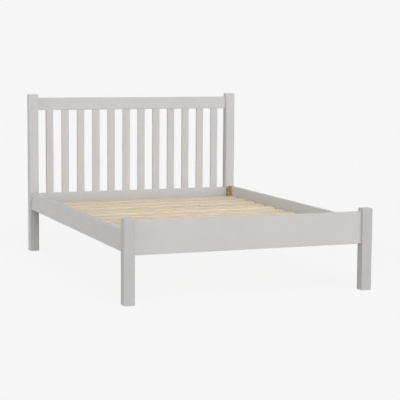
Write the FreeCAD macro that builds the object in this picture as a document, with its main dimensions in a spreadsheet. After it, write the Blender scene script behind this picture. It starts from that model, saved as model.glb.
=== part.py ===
import FreeCAD, Part
import os
import Sketcher
from FreeCAD import Placement, Rotation, Vector

# A painted wooden double bed frame. The headboard is two posts, two rails and a row of upright
# slats. The foot end is two short posts and one deep rail. Two side rails hook onto the posts at
# steel corner brackets, and carry bare cross slats on ledgers, with a bearer under their middle.
#
# The origin is on the floor in the middle of the footprint. +X is to the right for someone who
# stands at the foot end, +Y runs towards the headboard, and +Z is up. Sizes are millimetres.

SIZES = {
    # The mattress that the frame takes, and the room left round it
    "mattress_width": 1350,
    "mattress_length": 1900,
    "mattress_clearance": 15,
    # Posts
    "post_width": 60,
    "head_post_height": 1030,
    "foot_post_height": 460,
    "post_edge_radius": 4,
    "post_top_chamfer": 3,
    "post_foot_chamfer": 2,
    # Rails of the headboard and of the foot end
    "panel_rail_thickness": 22,
    "top_rail_height": 80,
    "top_rail_drop": 22,
    "lower_rail_bottom": 261,
    "lower_rail_height": 120,
    "foot_rail_bottom": 262,
    "foot_rail_height": 180,
    "rail_edge_radius": 3,
    "tenon_length": 28,
    "tenon_thickness": 12,
    "tenon_shoulder": 10,
    "mortise_relief": 1,
    "joint_clearance": 0.2,
    # Upright slats of the headboard
    "headboard_slat_count": 12,
    "headboard_slat_width": 48,
    "headboard_slat_thickness": 18,
    "headboard_slat_radius": 2.5,
    "slat_tenon_length": 12,
    "slat_tenon_thickness": 10,
    "slat_tenon_shoulder": 6,
    # Side rails and the ledgers along their inside
    "side_rail_thickness": 22,
    "side_rail_height": 117,
    "side_rail_bottom": 274,
    "side_rail_inset": 13,
    "ledger_width": 26,
    "ledger_height": 26,
    "ledger_lift": 10,
    "ledger_chamfer": 2,
    "ledger_end_gap": 1,
    # Cross slats that carry the mattress
    "bed_slat_count": 12,
    "bed_slat_width": 90,
    "bed_slat_thickness": 18,
    "bed_slat_chamfer": 2,
    "bed_slat_end_gap": 5,
    # Bearer under the middle of the cross slats, and the hangers at its ends
    "centre_rail_width": 32,
    "centre_rail_depth": 70,
    "centre_rail_chamfer": 2,
    "centre_rail_end_depth": 36,
    "centre_rail_seat": 33,
    "centre_rail_taper": 145,
    "centre_rail_end_gap": 1,
    "hanger_sheet": 2,
    "hanger_reach": 30,
    "hanger_ear": 18,
    "hanger_clearance": 0.3,
    "hanger_screw_margin": 9,
    # Corner brackets: a slotted plate on the post and a hooked angle on the side rail
    "bracket_sheet": 2,
    "bracket_lift": 2,
    "bracket_top_margin": 3,
    "bracket_usual_height": 76,
    "bracket_corner": 3,
    "bracket_bend_radius": 1,
    "plate_rail_gap": 0.5,
    "plate_edge_margin": 2,
    "rail_leaf_length": 50,
    "hook_first_seat": 15,
    "hook_pitch": 36,
    "hook_neck": 8,
    "hook_drop": 6,
    "hook_depth": 6,
    "hook_lead": 2,
    "hook_play": 0.5,
    "hook_window": 6,
    "hook_pocket_relief": 1,
    "rail_screw_offset": 16,
    "rail_screw_margin": 6,
    "rail_screw_pitch": 26,
    "rail_screw_count": 3,
    "plate_screw_margin": 5,
    # Countersunk wood screws, drawn with flat sides: the short ones hold steel, the long ones hold wood
    "screw_sides": 6,
    "short_screw_diameter": 3.5,
    "short_screw_head": 7,
    "short_screw_length": 18,
    "long_screw_diameter": 4,
    "long_screw_head": 8,
    "screw_tip": 4,
    "slat_screw_length": 32,
    "slat_screw_inset": 13,
    "ledger_screw_length": 38,
    "ledger_screw_count": 4,
    "slats_per_ledger_screw": 4,
    "screw_clearance": 0.1,
}

doc = FreeCAD.newDocument("bed_frame")
sheet = doc.addObject("Spreadsheet::Sheet", "sizes")
for row, (alias, size) in enumerate(SIZES.items(), 1):
    sheet.set(f"A{row}", alias.replace("_", " "))
    sheet.set(f"B{row}", str(size))
    sheet.setAlias(f"B{row}", alias)
doc.recompute()

# Places and sizes that follow from the sheet, written as formulas of its cells
HALF_INNER_WIDTH = "(sizes.mattress_width / 2 + sizes.mattress_clearance)"
HALF_INNER_LENGTH = "(sizes.mattress_length / 2 + sizes.mattress_clearance)"
HALF_POST = "(sizes.post_width / 2)"
POST_X = f"({HALF_INNER_WIDTH} + sizes.side_rail_thickness + sizes.side_rail_inset - {HALF_POST})"
POST_Y = f"({HALF_INNER_LENGTH} + {HALF_POST})"
POST_GAP = f"(2 * ({POST_X} - {HALF_POST}))"

TOP_RAIL_Z = "(sizes.head_post_height - sizes.top_rail_drop - sizes.top_rail_height / 2)"
LOWER_RAIL_Z = "(sizes.lower_rail_bottom + sizes.lower_rail_height / 2)"
FOOT_RAIL_Z = "(sizes.foot_rail_bottom + sizes.foot_rail_height / 2)"
HEADBOARD_OPENING_TOP = f"({TOP_RAIL_Z} - sizes.top_rail_height / 2)"
HEADBOARD_OPENING_BOTTOM = f"({LOWER_RAIL_Z} + sizes.lower_rail_height / 2)"
HEADBOARD_PITCH = f"(({POST_GAP} + sizes.headboard_slat_width) / (sizes.headboard_slat_count + 1))"
SLAT_TENON_WIDTH = "(sizes.headboard_slat_width - 2 * sizes.slat_tenon_shoulder)"
SLAT_MORTISE_DEPTH = "(sizes.slat_tenon_length + sizes.mortise_relief)"

SIDE_RAIL_X = f"({HALF_INNER_WIDTH} + sizes.side_rail_thickness / 2)"
SIDE_RAIL_Z = "(sizes.side_rail_bottom + sizes.side_rail_height / 2)"
LEDGER_X = f"({HALF_INNER_WIDTH} - sizes.ledger_width / 2)"
LEDGER_TOP = "(sizes.side_rail_bottom + sizes.ledger_lift + sizes.ledger_height)"
LEDGER_Z = f"({LEDGER_TOP} - sizes.ledger_height / 2)"
LEDGER_LENGTH = f"(2 * ({HALF_INNER_LENGTH} - sizes.ledger_end_gap))"

BED_SLAT_LENGTH = f"(2 * ({HALF_INNER_WIDTH} - sizes.bed_slat_end_gap))"
BED_SLAT_Z = f"({LEDGER_TOP} + sizes.bed_slat_thickness / 2)"
BED_SLAT_PITCH = f"((2 * {HALF_INNER_LENGTH} + sizes.bed_slat_width) / (sizes.bed_slat_count + 1))"
END_SLAT_Y = f"((sizes.bed_slat_count - 1) / 2 * {BED_SLAT_PITCH})"
SLAT_SCREW_X = f"({BED_SLAT_LENGTH} / 2 - sizes.slat_screw_inset)"
SLAT_SCREW_GRIP = "(sizes.slat_screw_length - sizes.bed_slat_thickness)"
LEDGER_SCREW_PITCH = f"(sizes.slats_per_ledger_screw * {BED_SLAT_PITCH})"
LEDGER_SCREW_GRIP = "(sizes.ledger_screw_length - sizes.ledger_width)"

PANEL_FACE_Y = f"({POST_Y} - sizes.panel_rail_thickness / 2)"
CENTRE_RAIL_END = f"({PANEL_FACE_Y} - sizes.hanger_sheet - sizes.centre_rail_end_gap)"
HANGER_SEAT_Z = f"({LEDGER_TOP} - sizes.centre_rail_end_depth)"
HANGER_BOTTOM = f"({HANGER_SEAT_Z} - sizes.hanger_sheet)"
HANGER_HEIGHT = "(sizes.centre_rail_end_depth + sizes.hanger_sheet)"
HANGER_HALF_INSIDE = "(sizes.centre_rail_width / 2 + sizes.hanger_clearance)"
HANGER_HALF_OUTSIDE = f"({HANGER_HALF_INSIDE} + sizes.hanger_sheet)"
HANGER_SCREW_X = f"({HANGER_HALF_OUTSIDE} + sizes.hanger_ear / 2)"
HANGER_SCREW_PITCH = f"({HANGER_HEIGHT} - 2 * sizes.hanger_screw_margin)"
HANGER_SCREW_GRIP = "(sizes.short_screw_length - sizes.hanger_sheet)"

# A corner bracket is measured from the corner between the post's face and the side rail's inner
# face: across is the distance from the rail, along is the distance from the post
BRACKET_BOTTOM = f"({LEDGER_TOP} + sizes.bracket_lift)"
BRACKET_TOP = "(sizes.side_rail_bottom + sizes.side_rail_height - sizes.bracket_top_margin)"
BRACKET_HEIGHT = f"({BRACKET_TOP} - {BRACKET_BOTTOM})"
POST_FACE_ROOM = "(sizes.post_width - sizes.side_rail_thickness - sizes.side_rail_inset)"
PLATE_WIDTH = f"({POST_FACE_ROOM} - sizes.plate_rail_gap - sizes.plate_edge_margin)"
PLATE_ACROSS = f"(sizes.plate_rail_gap + {PLATE_WIDTH} / 2)"
POST_LEAF_WIDTH = f"({PLATE_ACROSS} + {PLATE_WIDTH} / 2)"
HOOK_FACE = f"({PLATE_ACROSS} + sizes.bracket_sheet / 2)"
HOOK_SLOT_WIDTH = "(sizes.bracket_sheet + 2 * sizes.hook_play)"
HOOK_SLOT_HEIGHT = "(sizes.hook_neck + sizes.hook_drop + sizes.hook_play)"
HOOK_HEIGHT = "(sizes.hook_neck + sizes.hook_drop)"
HOOK_POCKET_DEPTH = "(sizes.hook_depth + sizes.hook_pocket_relief)"
HOOK_COUNT = (
    f"(floor(({BRACKET_HEIGHT} - sizes.hook_first_seat - {HOOK_SLOT_HEIGHT}) / sizes.hook_pitch) + 1)"
)
PLATE_SCREW_PITCH = f"(({BRACKET_HEIGHT} - 2 * sizes.plate_screw_margin) / {HOOK_COUNT})"
# The pitch of the rail screws is for a bracket of the usual height, and goes up and down with the height
RAIL_SCREW_PITCH = f"(sizes.rail_screw_pitch * {BRACKET_HEIGHT} / sizes.bracket_usual_height)"
RAIL_SCREW_ROW = f"((sizes.rail_screw_count - 1) * {RAIL_SCREW_PITCH})"
LOWEST_RAIL_SCREW = f"({BRACKET_HEIGHT} - sizes.rail_screw_margin - {RAIL_SCREW_ROW})"
BRACKET_SCREW_GRIP = "(sizes.short_screw_length - sizes.bracket_sheet)"

# Kinds of screw: the diameters of the shank and the head, and the length
SHORT_SCREW = ("sizes.short_screw_diameter", "sizes.short_screw_head", "sizes.short_screw_length")
SLAT_SCREW = ("sizes.long_screw_diameter", "sizes.long_screw_head", "sizes.slat_screw_length")
LEDGER_SCREW = ("sizes.long_screw_diameter", "sizes.long_screw_head", "sizes.ledger_screw_length")


def head_depth(screw):
    """Give the formula of a countersunk head's depth, where its flat sides slope at 45 degrees."""
    diameter, head = screw[:2]
    return f"(({head} - {diameter}) / 2 * cos(180 / sizes.screw_sides))"


def number(formula):
    """Work out a formula of the sheet's cells."""
    return float(sheet.evalExpression(formula))


def count(formula):
    """Work out a formula that counts pieces."""
    return round(number(formula))


def polygon_corners(radius, sides, height=0):
    """Give the corners of a regular polygon about Z, the first of them on +X."""
    turns = [Rotation(Vector(0, 0, 1), 360 * corner / sides) for corner in range(sides)]
    return [turn.multVec(Vector(radius, 0, height)) for turn in turns]


pieces = []


def new_body(name, x="0", y="0", z="0"):
    """Start a sub-part with its own origin at the given place."""
    body = doc.addObject("PartDesign::Body", name)
    body.Label = name
    for axis, formula in zip("xyz", (x, y, z)):
        body.setExpression(f"Placement.Base.{axis}", formula)
    pieces.append(body)
    return body


def mirrored(name, source, normal):
    """Make the other hand of a sub-part, across the frame's middle plane."""
    piece = doc.addObject("Part::Mirroring", name)
    piece.Label = name
    piece.Source = source
    piece.Normal = normal
    pieces.append(piece)
    return piece


def origin_feature(body, role):
    """Find one of a body's own planes or axes."""
    return next(feature for feature in body.Origin.OriginFeatures if feature.Role == role)


def new_sketch(body, role, across="0", up="0", out="0"):
    """Start a sketch on a body's plane, moved across and up in that plane and out along its normal."""
    sketch = body.newObject("Sketcher::SketchObject", f"{body.Name}_outline")
    sketch.AttachmentSupport = [(origin_feature(body, role), "")]
    sketch.MapMode = "FlatFace"
    for axis, formula in zip("xyz", (across, up, out)):
        sketch.setExpression(f"AttachmentOffset.Base.{axis}", formula)
    return sketch


def dimension(sketch, name, constraint, formula):
    """Add a dimension to a sketch and tie it to a formula."""
    index = sketch.addConstraint(constraint)
    sketch.renameConstraint(index, name)
    sketch.setExpression(f"Constraints.{name}", formula)


def draw_rectangle(sketch, width, height):
    """Draw a rectangle about the sketch's origin."""
    half_width = number(width) / 2
    half_height = number(height) / 2
    corners = [
        Vector(-half_width, -half_height),
        Vector(half_width, -half_height),
        Vector(half_width, half_height),
        Vector(-half_width, half_height),
    ]
    for edge in range(4):
        sketch.addGeometry(Part.LineSegment(corners[edge], corners[(edge + 1) % 4]))
    for edge in range(4):
        sketch.addConstraint(Sketcher.Constraint("Coincident", edge, 2, (edge + 1) % 4, 1))
        direction = "Vertical" if edge % 2 else "Horizontal"
        sketch.addConstraint(Sketcher.Constraint(direction, edge))
    sketch.addConstraint(Sketcher.Constraint("Symmetric", 0, 1, 1, 2, -1, 1))
    dimension(sketch, "width", Sketcher.Constraint("DistanceX", 0, 1, 0, 2, 2 * half_width), width)
    dimension(sketch, "height", Sketcher.Constraint("DistanceY", 1, 1, 1, 2, 2 * half_height), height)
    return sketch


def draw_eased_rectangle(sketch, width, height, radius):
    """Draw a rectangle about the sketch's origin, with its corners eased by arcs."""
    half_width = number(width) / 2
    half_height = number(height) / 2
    arc_radius = number(radius)
    flat_width = half_width - arc_radius
    flat_height = half_height - arc_radius
    quarter = Rotation(Vector(0, 0, 1), 90)
    corner = Vector(flat_width, -flat_height)
    side_start = Vector(-flat_width, -half_height)
    side_end = Vector(flat_width, -half_height)
    for side in range(4):
        sketch.addGeometry(Part.LineSegment(side_start, side_end))
        arc_start = side_end - corner
        arc_end = quarter.multVec(arc_start)
        middle = corner + (arc_start + arc_end).normalize() * arc_radius
        sketch.addGeometry(Part.ArcOfCircle(side_end, middle, corner + arc_end))
        side_start = corner + arc_end
        if side % 2:
            side_end = Vector(-side_start.x, side_start.y)
            corner = Vector(-corner.x, corner.y)
        else:
            side_end = Vector(side_start.x, -side_start.y)
            corner = Vector(corner.x, -corner.y)
    for edge in range(8):
        sketch.addConstraint(Sketcher.Constraint("Tangent", edge, 2, (edge + 1) % 8, 1))
    for edge, direction in ((0, "Horizontal"), (2, "Vertical"), (4, "Horizontal"), (6, "Vertical")):
        sketch.addConstraint(Sketcher.Constraint(direction, edge))
    for arc in (3, 5, 7):
        sketch.addConstraint(Sketcher.Constraint("Equal", 1, arc))
    sketch.addConstraint(Sketcher.Constraint("Symmetric", 1, 3, 5, 3, -1, 1))
    dimension(sketch, "radius", Sketcher.Constraint("Radius", 1, arc_radius), radius)
    dimension(sketch, "width", Sketcher.Constraint("DistanceX", 6, 1, 2, 1, 2 * half_width), width)
    dimension(sketch, "height", Sketcher.Constraint("DistanceY", 0, 1, 4, 1, 2 * half_height), height)
    return sketch


def draw_polygon(sketch, diameter):
    """Draw a screw's flat-sided section about the sketch's origin, inside a circle of the given diameter."""
    sides = count("sizes.screw_sides")
    radius = number(diameter) / 2
    corners = polygon_corners(radius, sides)
    for edge in range(sides):
        sketch.addGeometry(Part.LineSegment(corners[edge], corners[(edge + 1) % sides]))
    circle = sketch.addGeometry(Part.Circle(Vector(0, 0, 0), Vector(0, 0, 1), radius), True)
    sketch.addConstraint(Sketcher.Constraint("Coincident", circle, 3, -1, 1))
    sketch.addConstraint(Sketcher.Constraint("PointOnObject", 0, 1, -1))
    for edge in range(sides):
        sketch.addConstraint(Sketcher.Constraint("Coincident", edge, 2, (edge + 1) % sides, 1))
        sketch.addConstraint(Sketcher.Constraint("PointOnObject", edge, 1, circle))
    for edge in range(1, sides):
        sketch.addConstraint(Sketcher.Constraint("Equal", 0, edge))
    dimension(sketch, "diameter", Sketcher.Constraint("Diameter", circle, 2 * radius), diameter)
    return sketch


def draw_outline(sketch, corners):
    """Draw a closed outline through corners, each given by two formulas from the sketch's origin."""
    points = [Vector(number(across), number(up)) for across, up in corners]
    for edge, start in enumerate(points):
        sketch.addGeometry(Part.LineSegment(start, points[(edge + 1) % len(points)]))
    for edge in range(len(points)):
        sketch.addConstraint(Sketcher.Constraint("Coincident", edge, 2, (edge + 1) % len(points), 1))
    for edge, (across, up) in enumerate(corners):
        if across == "0":
            sketch.addConstraint(Sketcher.Constraint("PointOnObject", edge, 1, -2))
        else:
            place = Sketcher.Constraint("DistanceX", -1, 1, edge, 1, points[edge].x)
            dimension(sketch, f"across_{edge}", place, across)
        if up == "0":
            sketch.addConstraint(Sketcher.Constraint("PointOnObject", edge, 1, -1))
        else:
            place = Sketcher.Constraint("DistanceY", -1, 1, edge, 1, points[edge].y)
            dimension(sketch, f"up_{edge}", place, up)
    return sketch


def pad(body, sketch, length, symmetric=True):
    """Extrude a sketch along its normal, or to both sides of its plane."""
    feature = body.newObject("PartDesign::Pad", f"{body.Name}_pad")
    feature.Profile = sketch
    feature.SideType = "Symmetric" if symmetric else "One side"
    feature.setExpression("Length", length)
    doc.recompute()
    return feature


def must_cut(body, volume_before):
    """Stop if a cut took nothing away."""
    doc.recompute()
    if body.Shape.Volume >= volume_before:
        raise RuntimeError(f"a cut in {body.Label} removes nothing")


def pocket(body, sketch, depth):
    """Cut a sketch to the given depth on each side of its plane, which lies on a face."""
    volume_before = body.Shape.Volume
    feature = body.newObject("PartDesign::Pocket", f"{body.Name}_pocket")
    feature.Profile = sketch
    feature.SideType = "Symmetric"
    feature.setExpression("Length", f"2 * {depth}")
    must_cut(body, volume_before)
    return feature


def repeat(body, features, axis, spacing, occurrences):
    """Repeat features in a row along one of the body's axes."""
    pattern = body.newObject("PartDesign::LinearPattern", f"{body.Name}_row")
    pattern.Originals = features
    pattern.Direction = (origin_feature(body, axis), [""])
    pattern.Mode = "Spacing"
    pattern.setExpression("Offset", spacing)
    pattern.setExpression("Occurrences", occurrences)
    body.Tip = pattern
    doc.recompute()
    return pattern


def pilot_row(body, sketch, diameter, grip, axis, spacing, occurrences):
    """Cut a row of the holes that screws' shanks fill, from a sketch at the first one, below a face."""
    draw_polygon(sketch, f"{diameter} + 2 * sizes.screw_clearance")
    hole = pocket(body, sketch, f"({grip} + sizes.mortise_relief)")
    repeat(body, [hole], axis, spacing, occurrences)


def face_name(feature, direction):
    """Name the face that lies furthest in a direction."""
    faces = feature.Shape.Faces
    furthest = max(range(len(faces)), key=lambda index: faces[index].CenterOfMass.dot(direction))
    return f"Face{furthest + 1}"


def chamfer(body, feature, names, size):
    """Chamfer the named edges of a feature, or all the edges of a named face."""
    easing = body.newObject("PartDesign::Chamfer", f"{body.Name}_chamfer")
    easing.Base = (feature, names)
    easing.setExpression("Size", size)
    doc.recompute()
    return easing


def fillet(body, feature, names, radius):
    """Round the named edges of a feature."""
    easing = body.newObject("PartDesign::Fillet", f"{body.Name}_fillet")
    easing.Base = (feature, names)
    easing.setExpression("Radius", radius)
    doc.recompute()
    return easing


def edge_names(feature, wanted):
    """Name the edges whose middle point passes a test."""
    names = []
    for index, edge in enumerate(feature.Shape.Edges, 1):
        if wanted(edge, edge.CenterOfMass):
            names.append(f"Edge{index}")
    return names


def close_to(first, second):
    """Tell whether two lengths agree to a hundredth of a millimetre."""
    return abs(first - second) < 0.01


def chamfer_long_edges(body, feature, axis, size):
    """Ease the four long edges of a squared timber that runs along an axis."""
    box = feature.Shape.BoundBox
    length = {"x": box.XLength, "y": box.YLength}[axis]
    names = edge_names(feature, lambda edge, middle: close_to(edge.Length, length))
    return chamfer(body, feature, names, size)


def chamfer_sheet_corners(body, plate):
    """Nip the corners of a sheet metal plate that faces along Y."""
    thickness = plate.Shape.BoundBox.YLength
    names = edge_names(plate, lambda edge, middle: close_to(edge.Length, thickness))
    return chamfer(body, plate, names, "sizes.bracket_corner")


def countersunk_row(body, sketch, screw, depth, axis, spacing, occurrences):
    """Cut a row of clearance holes through a piece of the given depth, from a sketch at its first hole,
    and countersink them for the screws' heads on the face that the sketch lies in."""
    diameter = screw[0]
    clear_diameter = f"({diameter} + 2 * sizes.screw_clearance)"
    draw_polygon(sketch, clear_diameter)
    hole = pocket(body, sketch, f"(2 * {depth})")
    row = repeat(body, [hole], axis, spacing, occurrences)
    normal = sketch.Placement.Rotation.multVec(Vector(0, 0, 1))
    face = sketch.Placement.Base.dot(normal)
    side = sketch.Geometry[0].length()

    def at_mouth(edge, middle):
        """Tell whether an edge is a side of a hole's mouth."""
        return close_to(middle.dot(normal), face) and close_to(edge.Length, side)

    chamfer(body, row, edge_names(row, at_mouth), head_depth(screw))


def make_post(name, place_y, height, end, rails):
    """Make a left post. end is 1 at the head and -1 at the foot; rails are the tenons that enter it."""
    body = new_body(name, x=f"-{POST_X}", y=place_y)
    profile = new_sketch(body, "XY_Plane")
    draw_eased_rectangle(profile, "sizes.post_width", "sizes.post_width", "sizes.post_edge_radius")
    shaft = pad(body, profile, height, symmetric=False)
    top = face_name(shaft, Vector(0, 0, 1))
    crown = chamfer(body, shaft, [top], "sizes.post_top_chamfer")
    foot = face_name(crown, Vector(0, 0, -1))
    chamfer(body, crown, [foot], "sizes.post_foot_chamfer")

    for rail_z, rail_height in rails:
        mortise = new_sketch(body, "YZ_Plane", up=rail_z, out=HALF_POST)
        mortise_height = f"{rail_height} - 2 * (sizes.tenon_shoulder - sizes.joint_clearance)"
        draw_rectangle(mortise, "sizes.tenon_thickness + 2 * sizes.joint_clearance", mortise_height)
        pocket(body, mortise, "(sizes.tenon_length + sizes.mortise_relief)")

    bed_face = f"{end} * {HALF_POST}"
    bracket_x = f"({PLATE_ACROSS} + {POST_X} - {HALF_INNER_WIDTH})"
    for hook in range(count(HOOK_COUNT)):
        seat = f"({BRACKET_BOTTOM} + sizes.hook_first_seat + {hook} * sizes.hook_pitch)"
        pocket_bottom = f"({seat} - sizes.hook_drop - sizes.hook_play)"
        pocket_height = f"({HOOK_SLOT_HEIGHT} + sizes.hook_drop + sizes.hook_play)"
        middle = f"{pocket_bottom} + {pocket_height} / 2"
        recess = new_sketch(body, "XZ_Plane", across=bracket_x, up=middle, out=bed_face)
        draw_rectangle(recess, f"{HOOK_SLOT_WIDTH} + 2 * sizes.hook_play", pocket_height)
        pocket(body, recess, HOOK_POCKET_DEPTH)
    first = f"{BRACKET_BOTTOM} + sizes.plate_screw_margin"
    hole = new_sketch(body, "XZ_Plane", across=bracket_x, up=first, out=bed_face)
    pilot_row(
        body, hole, "sizes.short_screw_diameter", BRACKET_SCREW_GRIP, "Z_Axis", PLATE_SCREW_PITCH,
        f"{HOOK_COUNT} + 1",
    )
    return body


def make_panel_rail(name, place_y, place_z, height):
    """Make a rail that is tenoned between two posts."""
    body = new_body(name, y=place_y, z=place_z)
    section = new_sketch(body, "YZ_Plane")
    draw_eased_rectangle(section, "sizes.panel_rail_thickness", height, "sizes.rail_edge_radius")
    pad(body, section, POST_GAP)
    tenon = new_sketch(body, "YZ_Plane")
    draw_rectangle(tenon, "sizes.tenon_thickness", f"{height} - 2 * sizes.tenon_shoulder")
    pad(body, tenon, f"{POST_GAP} + 2 * sizes.tenon_length")
    return body


def cut_slat_mortises(body, edge_z):
    """Cut the row of mortises for the upright slats into the edge of a headboard rail."""
    first = f"-(sizes.headboard_slat_count - 1) / 2 * {HEADBOARD_PITCH}"
    mortise = new_sketch(body, "XY_Plane", across=first, out=edge_z)
    mortise_width = f"{SLAT_TENON_WIDTH} + 2 * sizes.joint_clearance"
    draw_rectangle(mortise, mortise_width, "sizes.slat_tenon_thickness + 2 * sizes.joint_clearance")
    cut = pocket(body, mortise, SLAT_MORTISE_DEPTH)
    repeat(body, [cut], "X_Axis", HEADBOARD_PITCH, "sizes.headboard_slat_count")


def drill_hanger_holes(body, end, rail_z):
    """Drill a panel rail's inner face for the screws of the hanger. end is 1 at the head."""
    face = f"{end} * sizes.panel_rail_thickness / 2"
    first = f"{HANGER_BOTTOM} + sizes.hanger_screw_margin - {rail_z}"
    for side in (-1, 1):
        hole = new_sketch(body, "XZ_Plane", across=f"{side} * {HANGER_SCREW_X}", up=first, out=face)
        pilot_row(
            body, hole, "sizes.short_screw_diameter", HANGER_SCREW_GRIP, "Z_Axis", HANGER_SCREW_PITCH, "2"
        )


def make_headboard_slat(index):
    """Make one upright slat with a stub tenon at each end."""
    place = f"({index} - (sizes.headboard_slat_count + 1) / 2) * {HEADBOARD_PITCH}"
    middle = f"({HEADBOARD_OPENING_TOP} + {HEADBOARD_OPENING_BOTTOM}) / 2"
    body = new_body(f"headboard_slat_{index:02d}", x=place, y=POST_Y, z=middle)
    span = f"({HEADBOARD_OPENING_TOP} - {HEADBOARD_OPENING_BOTTOM})"
    section = new_sketch(body, "XY_Plane")
    draw_eased_rectangle(
        section, "sizes.headboard_slat_width", "sizes.headboard_slat_thickness", "sizes.headboard_slat_radius"
    )
    pad(body, section, span)
    tenon = new_sketch(body, "XY_Plane")
    draw_rectangle(tenon, SLAT_TENON_WIDTH, "sizes.slat_tenon_thickness")
    pad(body, tenon, f"{span} + 2 * sizes.slat_tenon_length")


def make_side_rail():
    """Make the left side rail, drilled for its brackets and its ledger."""
    body = new_body("side_rail_left", x=f"-{SIDE_RAIL_X}", z=SIDE_RAIL_Z)
    section = new_sketch(body, "XZ_Plane")
    draw_eased_rectangle(
        section, "sizes.side_rail_thickness", "sizes.side_rail_height", "sizes.rail_edge_radius"
    )
    pad(body, section, f"2 * {HALF_INNER_LENGTH}")
    inner_face = "sizes.side_rail_thickness / 2"
    bracket_z = f"{BRACKET_BOTTOM} + {LOWEST_RAIL_SCREW} - {SIDE_RAIL_Z}"
    for end in (-1, 1):
        place_y = f"{end} * ({HALF_INNER_LENGTH} - sizes.rail_screw_offset)"
        hole = new_sketch(body, "YZ_Plane", across=place_y, up=bracket_z, out=inner_face)
        pilot_row(
            body, hole, "sizes.short_screw_diameter", BRACKET_SCREW_GRIP, "Z_Axis",
            RAIL_SCREW_PITCH, "sizes.rail_screw_count",
        )
    first = f"-(sizes.ledger_screw_count - 1) / 2 * {LEDGER_SCREW_PITCH}"
    ledger_z = f"{LEDGER_Z} - {SIDE_RAIL_Z}"
    hole = new_sketch(body, "YZ_Plane", across=first, up=ledger_z, out=inner_face)
    pilot_row(
        body, hole, "sizes.long_screw_diameter", LEDGER_SCREW_GRIP, "Y_Axis", LEDGER_SCREW_PITCH,
        "sizes.ledger_screw_count",
    )
    return body


def make_ledger():
    """Make the left ledger, screwed to the rail and drilled for the cross slats' screws."""
    body = new_body("slat_ledger_left", x=f"-{LEDGER_X}", z=LEDGER_Z)
    section = draw_rectangle(new_sketch(body, "XZ_Plane"), "sizes.ledger_width", "sizes.ledger_height")
    batten = pad(body, section, LEDGER_LENGTH)
    chamfer_long_edges(body, batten, "y", "sizes.ledger_chamfer")
    first = f"-(sizes.ledger_screw_count - 1) / 2 * {LEDGER_SCREW_PITCH}"
    hole = new_sketch(body, "YZ_Plane", across=first, out="sizes.ledger_width / 2")
    countersunk_row(
        body, hole, LEDGER_SCREW, "sizes.ledger_width", "Y_Axis", LEDGER_SCREW_PITCH,
        "sizes.ledger_screw_count",
    )
    slat_screw = f"{LEDGER_X} - {SLAT_SCREW_X}"
    hole = new_sketch(
        body, "XY_Plane", across=slat_screw, up=f"-{END_SLAT_Y}", out="sizes.ledger_height / 2"
    )
    pilot_row(
        body, hole, "sizes.long_screw_diameter", SLAT_SCREW_GRIP, "Y_Axis", BED_SLAT_PITCH,
        "sizes.bed_slat_count",
    )
    return body


def make_bed_slat(index):
    """Make one cross slat, countersunk for a screw into each ledger."""
    place = f"({index} - (sizes.bed_slat_count + 1) / 2) * {BED_SLAT_PITCH}"
    body = new_body(f"bed_slat_{index:02d}", y=place, z=BED_SLAT_Z)
    section = draw_rectangle(new_sketch(body, "YZ_Plane"), "sizes.bed_slat_width", "sizes.bed_slat_thickness")
    board = pad(body, section, BED_SLAT_LENGTH)
    chamfer_long_edges(body, board, "x", "sizes.bed_slat_chamfer")
    hole = new_sketch(body, "XY_Plane", across=f"-{SLAT_SCREW_X}", out="sizes.bed_slat_thickness / 2")
    countersunk_row(
        body, hole, SLAT_SCREW, "sizes.bed_slat_thickness", "X_Axis", f"2 * {SLAT_SCREW_X}", "2"
    )


def make_centre_rail():
    """Make the bearer under the slats: deep along its span, and tapered up to a shallow seat at each end."""
    body = new_body("centre_rail", z=LEDGER_TOP)
    seat_end = f"({CENTRE_RAIL_END} - sizes.centre_rail_seat)"
    taper_end = f"({seat_end} - sizes.centre_rail_taper)"
    side_view = new_sketch(body, "YZ_Plane")
    draw_outline(
        side_view,
        [
            (f"-{CENTRE_RAIL_END}", "0"),
            (f"-{CENTRE_RAIL_END}", "-sizes.centre_rail_end_depth"),
            (f"-{seat_end}", "-sizes.centre_rail_end_depth"),
            (f"-{taper_end}", "-sizes.centre_rail_depth"),
            (taper_end, "-sizes.centre_rail_depth"),
            (seat_end, "-sizes.centre_rail_end_depth"),
            (CENTRE_RAIL_END, "-sizes.centre_rail_end_depth"),
            (CENTRE_RAIL_END, "0"),
        ],
    )
    beam = pad(body, side_view, "sizes.centre_rail_width")
    half_width = number("sizes.centre_rail_width") / 2
    end = number(CENTRE_RAIL_END)

    def long_edge(edge, middle):
        """Tell whether an edge runs along one of the beam's two sides."""
        return close_to(abs(middle.x), half_width) and not close_to(abs(middle.y), end)

    chamfer(body, beam, edge_names(beam, long_edge), "sizes.centre_rail_chamfer")


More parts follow.
